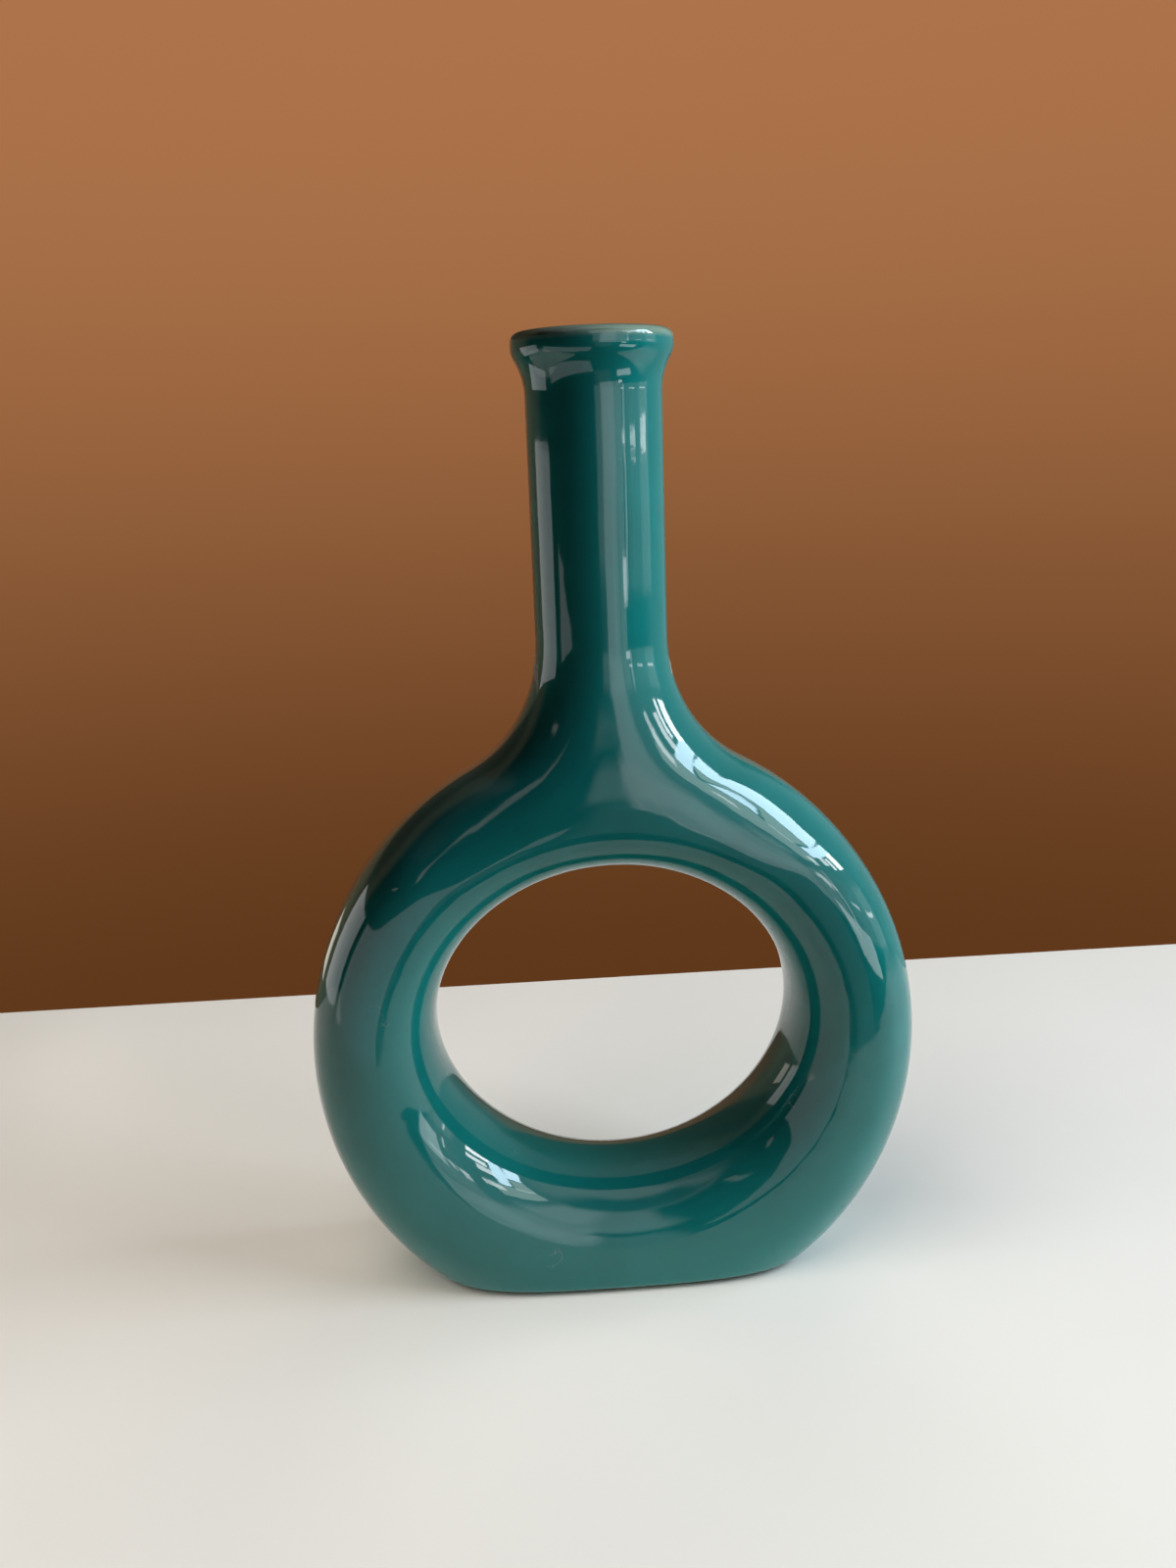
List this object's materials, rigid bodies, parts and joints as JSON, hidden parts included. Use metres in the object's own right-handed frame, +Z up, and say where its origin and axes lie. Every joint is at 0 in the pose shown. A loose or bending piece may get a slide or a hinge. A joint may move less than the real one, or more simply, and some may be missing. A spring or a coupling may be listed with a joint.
{
  "type": "ring vase",
  "caption": "Glossy teal ceramic vase: a hollow ring with a wide oval hole stands on a flat foot and rises into a slender bottle neck with a rolled lip.",
  "frame": {"origin": "on the table, under the middle of the foot", "axes": "+Z up along the neck's bore, -Y towards the front, X across the ring from left to right"},
  "size_m": [0.1628, 0.046, 0.25],
  "materials": {
    "clay": "matt unglazed stoneware",
    "glaze": "high gloss, opaque dark teal"
  },
  "bodies": {
    "root": {"ring_body": "clay", "neck": "clay", "foot_rim": "clay", "ring_glaze": "glaze", "neck_glaze": "glaze"}
  },
  "joints": []
}
